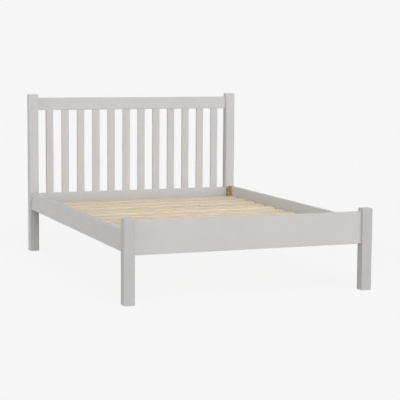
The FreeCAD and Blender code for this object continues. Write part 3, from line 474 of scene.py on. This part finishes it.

# %% [markdown]
# ## Posts, rails and headboard slats
#
# The frame's own meshes could be painted as they are, but they don't know which way their grain runs.
# So each piece is made again as a board, with its size from the frame. A rail's tenons are out of
# sight inside the posts, so the visible rail runs from post to post, and a slat runs from rail to
# rail. A hair's breadth of easing at the shoulders leaves the fine line that such a joint shows
# through paint. The two foot posts are painted a shade darker than the rest, the right side rail a
# little darker and the left one a little lighter. These fixed tones are painted shade and painted
# light, for how the light falls on these pieces.

# %% One painted board
shoulder_easing = 0.0006
paint_tones = (0.985, 1.0)
# Painted shade and painted light: fixed factors that make the foot posts and the right side rail darker and
# the left side rail lighter, for how the light falls on them.
painted_light_and_shade_tones = {
    "foot_post_left": 0.89,
    "foot_post_right": 0.89,
    "side_rail_left": 1.04,
    "side_rail_right": 0.95,
}


def paint_board(node, box, along_axis, radius, start_easing=shoulder_easing, end_easing=shoulder_easing):
    """Put a painted board that fills a box in the place of a node."""
    mesh, _ = board_mesh(node, box, along_axis, radius, start_easing, end_easing)
    keep_tone(mesh, painted_light_and_shade_tones.get(node, 1.0) * chance.uniform(*paint_tones))
    place_piece(mesh, paint, node)


def between(node, axis, start, stop):
    """A node's box, with its reach along one axis cut to what lies between two joints."""
    low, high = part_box(node)
    low[axis], high[axis] = start, stop
    return low, high


print("pieces with a tone of their own:", ", ".join(painted_light_and_shade_tones))

# %% All painted boards
across_bed, along_bed, upright = 0, 1, 2
post_edge_radius = 0.004
post_top_easing = 0.003
post_foot_easing = 0.002
rail_edge_radius = 0.003
headboard_slat_radius = 0.0025

for end in ("head", "foot"):
    for side in ("left", "right"):
        node = f"{end}_post_{side}"
        paint_board(node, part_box(node), upright, post_edge_radius, post_foot_easing, post_top_easing)

left_post_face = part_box("head_post_left")[1].x
right_post_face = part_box("head_post_right")[0].x
for node in ("headboard_top_rail", "headboard_lower_rail", "foot_rail"):
    shown = between(node, across_bed, left_post_face, right_post_face)
    paint_board(node, shown, across_bed, rail_edge_radius)

slat_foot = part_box("headboard_lower_rail")[1].z
slat_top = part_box("headboard_top_rail")[0].z
headboard_slats = sorted(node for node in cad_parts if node.startswith("headboard_slat"))
for node in headboard_slats:
    paint_board(node, between(node, upright, slat_foot, slat_top), upright, headboard_slat_radius)

for node in ("side_rail_left", "side_rail_right"):
    paint_board(node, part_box(node), along_bed, rail_edge_radius)
print("headboard slats:", len(headboard_slats), "of", round(slat_top - slat_foot, 3), "m between the rails")

# %% [markdown]
# ## Bare pine
#
# The slat base is planed pine. What makes it look like pine is the trunk it was sawn from: growth
# rings are shells round the pith, pale where they grew in spring and amber where they grew in late
# summer, and a board shows whatever slice of those shells it was cut through. A flat wood picture
# can't do this on the face, the edge and the end at once. So each board keeps its place in its own
# trunk, with the pith a little outside the board and not quite parallel to it, and the finish only
# has to measure the distance to the pith. Like the paint, each board has a tone of its own.

# %% Knots
knot_cells_per_metre = 3.6
knot_share = 0.22
smallest_knot_radius, largest_knot_radius = 0.004, 0.0112
knot_swelling = 0.011


def knot_masks(board):
    """Knots go right through a board, so their pattern is flat: cells across and along it, a share of
    which hold a knot. How many of its own radii a place is away from the knot then gives the masks of
    the knot and its rim, and how far the growth rings swell round it."""
    across = board.node("ShaderNodeSeparateXYZ", {}, {0: board})
    face_place = board.node("ShaderNodeCombineXYZ", {}, {0: across, 1: across.output("Z")})
    cells = board.node(
        "ShaderNodeTexVoronoi",
        {"voronoi_dimensions": "2D"},
        {"Vector": face_place, "Scale": knot_cells_per_metre},
    )
    lot = board.node("ShaderNodeSeparateColor", {}, {0: cells.output("Color")})
    has_knot = lot.math("LESS_THAN", knot_share)
    radius = lot.output("Green") * (largest_knot_radius - smallest_knot_radius) + smallest_knot_radius
    radii_away = cells / knot_cells_per_metre / radius
    knot = has_knot * (1 - radii_away.rise(0.75, 1.0))
    rim = has_knot * radii_away.rise(0.6, 0.95) * (1 - radii_away.rise(0.95, 1.25))
    swell = has_knot * (1 - radii_away.rise(0.4, 4.5)) * knot_swelling
    return radii_away, knot, rim, swell


print("largest knot:", round(2000 * largest_knot_radius), "mm across")

# %% Growth rings
ring_width = 0.0042
ring_wander = 0.012
wander_scales = (6, 6, 3.3)
round_the_pith = (1, 1, 0)


def growth_season(trunk, swell):
    """How far the growing season had come, from 0 in spring to 1 in autumn: the distance to the pith,
    which wanders slowly and swells round knots, counted in widths of a ring, without its whole part."""
    wander = trunk.times(wander_scales).noise(1, detail=2) * ring_wander
    pith_place = {0: trunk.times(round_the_pith)}
    pith_distance = trunk.node("ShaderNodeVectorMath", {"operation": "LENGTH"}, pith_place, output="Value")
    return ((pith_distance + wander + swell) / ring_width).math("FRACT")


print("rings in ten centimetres:", round(0.1 / ring_width))

# %% Pine
spring_colour = seen_colour(242, 227, 203)
summer_colour = seen_colour(225, 198, 158)
knot_colour = seen_colour(160, 114, 74)
knot_rim_colour = seen_colour(118, 80, 50)
knot_ring_turn = 22
fibre_scales = (900, 900, 9)
canal_scales = (1300, 1300, 40)
pine_relief = {"strength": 0.25, "distance": 0.0004}


def make_pine():
    """Pale spring wood and amber summer wood, with fibres, resin canals, knots and darker ends."""
    finish, tree = start_finish("bare_pine")
    board = tree.attribute("board", output="Vector")
    radii_away, knot, rim, swell = knot_masks(board)
    season = growth_season(tree.attribute("trunk", output="Vector"), swell)
    summer = season.rise(0.15, 0.93) * (1 - season.rise(0.95, 1.0))
    fibres = board.times(fibre_scales).noise(1, detail=3, roughness=0.7)
    canals = board.times(canal_scales).noise(1, detail=1).rise(0.70, 0.78)

    wood = (summer * 0.36 + fibres * 0.18).mix(spring_colour, summer_colour)
    wood = (canals * 0.2).mix(wood, knot_colour)
    wood = (tree.attribute("end") * 0.2).mix(wood, summer_colour)
    knot_rings = (radii_away * knot_ring_turn).math("SINE") * 0.1125 + 0.775
    wood = (knot * knot_rings).mix(wood, knot_colour)
    colour = (rim * 0.75).mix(wood, knot_rim_colour).scaled(tree.attribute("tone"))

    normal = (fibres * 0.5 + summer * 0.5).relief(**pine_relief)
    roughness = 0.66 - summer * 0.10 - knot * 0.15 + fibres * 0.10
    close_finish(tree, Base_Color=colour, Roughness=roughness, Normal=normal)
    return finish


pine = make_pine()
print("pine nodes:", len(pine.node_tree.nodes))

# %% Sawing boards out of a trunk
section_turn = 0.25
pith_offset = 0.022
pith_depths = (0.035, 0.12)
grain_slant = 0.012
trunk_length = 30
pine_tones = (0.91, 1.05)


def trunk_place(local):
    """A board's place in its trunk: its section turned a little, moved away from the pith, and
    slanted along the length, so that the rings run out of its face in long pointed arches."""
    turn = chance.normal(0, section_turn)
    pith_across = chance.normal(0, pith_offset)
    pith_below = chance.uniform(*pith_depths)
    slant_across, slant_below = chance.normal(0, grain_slant, 2)
    across, through, along = local[..., 0], local[..., 1], local[..., 2]
    x = across * np.cos(turn) - through * np.sin(turn) + pith_across + slant_across * along
    y = across * np.sin(turn) + through * np.cos(turn) + pith_below + slant_below * along
    return np.stack([x, y, along + chance.uniform(0, trunk_length)], axis=-1)


def pine_piece(node, mesh, local, shade=1.0):
    """Give a pine board a place in a trunk, its own tone times a painted shade, and put it into the scene.
    """
    keep(mesh, "trunk", trunk_place(local))
    keep_tone(mesh, shade * chance.uniform(*pine_tones))
    place_piece(mesh, pine, node)


print("tones of the pine boards:", pine_tones)

# %% [markdown]
# ## The slat base
#
# Twelve slats lie across two ledgers, and a bearer runs under their middle. Slats and ledgers are
# plain eased boards. The slats get darker towards the head: painted shade, for the shade that falls
# near the headboard. The bearer is deeper in the middle than at its ends. It could be cut out of a
# plain board, but then its edges would lose their rounding. So its rings are made from a list of
# depths along its length, and its underside leans where the depth changes.

# %% Slats and ledgers
slat_edge_radius, slat_end_easing = 0.0025, 0.0012
ledger_edge_radius, ledger_end_easing = 0.002, 0.001
# Painted shade: the slats darken towards the headboard, for the shade that falls there.
head_shade_start, head_shade_length = 0.31, 0.40
painted_head_shade = 0.12

bed_slats = sorted(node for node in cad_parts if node.startswith("bed_slat_") and node[-2:].isdigit())
for node in bed_slats:
    slat = board_mesh(node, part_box(node), across_bed, slat_edge_radius, slat_end_easing, slat_end_easing)
    towards_head = np.clip((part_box(node)[0].y - head_shade_start) / head_shade_length, 0, 1)
    pine_piece(node, *slat, shade=1 - painted_head_shade * towards_head)

ledger_easings = (ledger_end_easing, ledger_end_easing)
for node in ("slat_ledger_left", "slat_ledger_right"):
    ledger = board_mesh(node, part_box(node), along_bed, ledger_edge_radius, *ledger_easings)
    pine_piece(node, *ledger)
print("bed slats:", len(bed_slats))

# %% Bearer
bearer_seat, bearer_taper = 0.033, 0.145
bearer_end_depth = 0.036
bearer_radius = 0.002


def bearer_stations(length, depth):
    """Stations along the beam, alike at both ends: their places from its middle, its depths, and the
    slopes of its underside. A station where the slope changes appears twice."""
    seat_end = length / 2 - bearer_seat
    taper_end = seat_end - bearer_taper
    fall = (depth - bearer_end_depth) / bearer_taper
    place = np.array([length / 2, seat_end, seat_end, taper_end, taper_end])
    depths = np.array([bearer_end_depth, bearer_end_depth, bearer_end_depth, depth, depth])
    slope = np.array([0, 0, fall, fall, 0])
    return (
        np.concatenate([-place, place[::-1]]),
        np.concatenate([depths, depths[::-1]]),
        np.concatenate([-slope, slope[::-1]]),
    )


def bearer_mesh(node):
    """A beam whose rings all have the same top, while the lower half of each outline moves up to the
    station's depth. A normal there leans along the beam by its downward part times the slope."""
    low, high = (np.array(corner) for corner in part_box(node))
    width, length, depth = high - low
    place, depths, slope = bearer_stations(length, depth)
    centre, direction, _ = eased_outline(depth, width, bearer_radius)
    lower = centre[:, 0] < 0
    section = np.broadcast_to(centre + bearer_radius * direction, (len(place), *centre.shape)).copy()
    section[:, lower, 0] += (depth - depths)[:, None]
    along = np.broadcast_to(place[:, None, None], section.shape[:2] + (1,))
    local = np.concatenate([section, along], axis=2)
    lean = np.where(lower, -direction[:, 0] * slope[:, None], 0)
    normals = np.concatenate([np.broadcast_to(direction, section.shape), lean[..., None]], axis=2)
    normals /= np.linalg.norm(normals, axis=2, keepdims=True)
    mesh = skin(node, in_frame(local, along_bed) + (low + high) / 2, in_frame(normals, along_bed))
    keep(mesh, "board", local + chance.uniform(0, longest_shift, 3))
    keep(mesh, "end", np.zeros(section.shape[:2] + (1,)))
    return mesh, local


pine_piece("centre_rail", *bearer_mesh("centre_rail"))

# %% [markdown]
# ## Brackets of yellow-plated steel
#
# The hooked angles in the corners and the bearer's hangers are folded from 2 mm sheet and plated with
# zinc, which is then passivated. That leaves a thin yellow film whose colour drifts between gold,
# green and rose with its thickness, and towards brown where it is thickest. The screws of all this
# ironwork are phosphated instead: a dark coat of tiny crystals, with a trace of oil. The plates behind
# the angles get the same dark coat as painted shade: they show only through the angles' windows, and
# their darkness stands for the shade in those windows. The frame already has every window, hook and
# bend of these pieces, so they keep their own shape and only get the finish.

# %% Plated steel
gold_colour = (0.60, 0.45, 0.24)
green_colour = (0.48, 0.44, 0.24)
rose_colour = (0.58, 0.39, 0.26)
brown_colour = (0.26, 0.17, 0.07)
bare_zinc_colour = (0.55, 0.55, 0.53)
gold_scale, rose_scale, brown_scale = 45, 70, 38
rolling_scales = (3000, 3000, 60)
scuff_scales = (900, 900, 260)
plating_metal = 0.8
plating_relief = {"strength": 0.15, "distance": 0.0002}


def make_plating(name, yellowness):
    """A film that drifts from green to gold, with rose and brown places, over zinc that shows where it
    is scuffed. A yellowness below 1 lets the zinc through everywhere."""
    finish, tree = start_finish(name)
    place = tree.node("ShaderNodeTexCoord", output="Object")
    drift = place.noise(gold_scale, detail=3)
    film = drift.rise(0.30, 0.70).mix(green_colour, gold_colour)
    film = (place.noise(rose_scale, detail=2).rise(0.52, 0.75) * 0.7).mix(film, rose_colour)
    film = (place.noise(brown_scale, detail=4).rise(0.30, 0.85) * 0.6).mix(film, brown_colour)
    rolling = place.times(rolling_scales).noise(1, detail=3)
    scuffs = place.times(scuff_scales).noise(1, detail=2).rise(0.62, 0.74)
    colour = (scuffs * 0.4 + (1 - yellowness)).mix(film, bare_zinc_colour)
    roughness = 0.36 + drift * 0.16 + rolling * 0.10 + scuffs * 0.12
    normal = rolling.relief(**plating_relief)
    close_finish(tree, Base_Color=colour, Metallic=plating_metal, Roughness=roughness, Normal=normal)
    return finish


plating = make_plating("yellow_zinc", yellowness=1.0)
print("plating nodes:", len(plating.node_tree.nodes))

# %% Phosphated steel
dark_crystal_colour = seen_colour(52, 49, 46)
pale_crystal_colour = seen_colour(86, 82, 77)
worn_steel_colour = seen_colour(150, 146, 140)
crystal_scale = 2600
oil_scale = 60
wear_scales = (400, 400, 150)
phosphate_metal = 0.6
phosphate_relief = {"strength": 0.2, "distance": 0.0001}


def make_phosphate():
    """Dark and pale crystals, smoother under oil, with steel where the coat has worn."""
    finish, tree = start_finish("dark_phosphate_and_window_shade")
    place = tree.node("ShaderNodeTexCoord", output="Object")
    crystals = place.noise(crystal_scale, detail=3, roughness=0.7)
    oil = place.noise(oil_scale, detail=2)
    worn = place.times(wear_scales).noise(1, detail=3).rise(0.66, 0.78)
    coat = (crystals.rise(0.35, 0.7) * (0.5 + oil * 0.5)).mix(dark_crystal_colour, pale_crystal_colour)
    colour = (worn * 0.5).mix(coat, worn_steel_colour)
    roughness = 0.62 - oil * 0.22 - worn * 0.12 + crystals * 0.10
    normal = crystals.relief(**phosphate_relief)
    close_finish(tree, Base_Color=colour, Metallic=phosphate_metal, Roughness=roughness, Normal=normal)
    return finish


phosphate_and_window_shade = make_phosphate()
print("phosphate nodes:", len(phosphate_and_window_shade.node_tree.nodes))

# %% Finishes of the frame's own brackets
corner_names = [f"{end}_{side}" for end in ("head", "foot") for side in ("left", "right")]
bracket_finishes = {f"rail_hook_{corner}": plating for corner in corner_names}
# Painted shade: the post plates get the dark coat, because they show only through the angles' windows, where
# shade falls.
bracket_finishes |= {f"post_plate_{corner}": phosphate_and_window_shade for corner in corner_names}
bracket_finishes |= {f"centre_hanger_{end}": plating for end in ("head", "foot")}
for node, finish in bracket_finishes.items():
    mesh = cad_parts[node].data
    mesh.materials.clear()
    mesh.materials.append(finish)
print("brackets:", len(bracket_finishes))

# %% [markdown]
# ## Countersunk screws
#
# The frame's screws are plain flat-sided pins. A real wood screw has a round, slightly domed head
# with a cross recess for the driver. The recess could be cut out with a Boolean modifier, but that
# leaves ragged faces. Here the top is a disc of rings round the axis: the height follows a shallow
# dome, minus a recess that is deep where a point is near either arm of the cross. The cone and the
# shank are more rings below it. One screw is worked out once, and copies of it go to the places where
# the frame's screws have their points.

# %% One screw
screw_turns = 32
head_reaches = np.array([0.06, 0.16, 0.26, 0.36, 0.46, 0.56, 0.62, 0.68, 0.80, 0.92, 1.0])
half_rim = 0.0001
dome_height = 0.00045
recess_depth = 0.0011
recess_reach = 0.62
recess_fade = 0.10
arm_half_width = 0.00055
point_start = 0.8
point_radius = 0.0002


def screw_surface(head_radius, shank_radius, length):
    """Rings of a screw that points down, from its point to the middle of its head. On the head, the
    height is a dome that falls with the square of the radius, minus the recess; the recess fades
    with the distance to the nearer arm of the cross and ends at a share of the head's radius."""
    angle = np.linspace(0, 2 * np.pi, screw_turns, endpoint=False)
    circle = np.stack([np.cos(angle), np.sin(angle)], axis=1)
    face = head_radius * head_reaches[:, None, None] * circle
    to_arm = np.abs(face).min(axis=2)
    inside = np.clip((recess_reach - head_reaches) / recess_fade, 0, 1)[:, None]
    recess = recess_depth * inside * np.clip(2 - to_arm / arm_half_width, 0, 1)
    dome = dome_height * (1 - head_reaches**2)[:, None] + half_rim
    head = np.concatenate([face, (dome - recess)[..., None]], axis=2)

    body_radius = np.array([head_radius, shank_radius, shank_radius, point_radius])
    body_height = np.array([-half_rim, shank_radius - head_radius, -point_start * length, -length])
    heights = np.broadcast_to(body_height[:, None, None], (len(body_height), screw_turns, 1))
    body = np.concatenate([body_radius[:, None, None] * circle, heights], axis=2)
    return np.concatenate([head, body])[::-1]


print("rings on a screw's head:", len(head_reaches))

# %% Where the screws are
place_digits = 5


def screw_places(node, axis):
    """The centres of the heads of a group of screws, their directions and their length. A screw's
    point is the only corner of it that lies furthest along its axis, so the points give the places.
    Upright screws point down, and the others point away from the middle of the bed."""
    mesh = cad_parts[node].data
    corners = np.empty(3 * len(mesh.vertices), dtype=np.float32)
    mesh.vertices.foreach_get("co", corners)
    corners = corners.reshape(-1, 3).astype(float)
    depth = -corners[:, axis] if axis == upright else np.abs(corners[:, axis])
    at_point = depth > depth.max() - 10**-place_digits
    tips = np.unique(np.round(corners[at_point], place_digits), axis=0)
    directions = np.zeros_like(tips)
    directions[:, axis] = -1 if axis == upright else np.sign(tips[:, axis])
    length = depth.max() - depth.min()
    return tips - directions * length, directions, length


print("screws in the slats:", len(screw_places("bed_slat_screws", upright)[0]))

# %% Screws in their places
sharp_angle = math.radians(35)
steel_screw = {"finish": phosphate_and_window_shade, "slot": "dark_steel", "head_radius": 0.0035, "shank_radius": 0.00175}
screw_plating = make_plating("screw_zinc", yellowness=0.55)
wood_screw = {"finish": screw_plating, "slot": "screw_zinc", "head_radius": 0.004, "shank_radius": 0.002}
screw_groups = {
    "post_plate_screws": (along_bed, steel_screw),
    "rail_hook_screws": (across_bed, steel_screw),
    "centre_hanger_screws": (along_bed, steel_screw),
    "ledger_screws": (across_bed, wood_screw),
    "bed_slat_screws": (upright, wood_screw),
}


def screw_group(node, axis, finish, slot, head_radius, shank_radius):
    """Copies of one screw at every place of a group, each turned by its own random angle: a copy's
    axes are a direction at that angle round the screw, the one square to it, and the way out."""
    centres, directions, length = screw_places(node, axis)
    pattern = screw_surface(head_radius, shank_radius, length)
    spin = chance.uniform(0, np.pi / 2, len(centres))[:, None]
    outward = -directions
    sideways = np.roll(outward, 1, axis=1)
    turned = np.cos(spin) * sideways + np.sin(spin) * np.cross(outward, sideways)
    axes = np.stack([turned, np.cross(outward, turned), outward], axis=2)
    points = np.einsum("nij,rtj->nrti", axes, pattern) + centres[:, None, None, :]
    mesh = skin(node, points)
    mesh.set_sharp_from_angle(angle=sharp_angle)
    place_piece(mesh, finish, node)
    return len(centres)


screw_count = sum(screw_group(node, axis, **kind) for node, (axis, kind) in screw_groups.items())
print("screws:", screw_count)

# %% [markdown]
# ## Closing
#
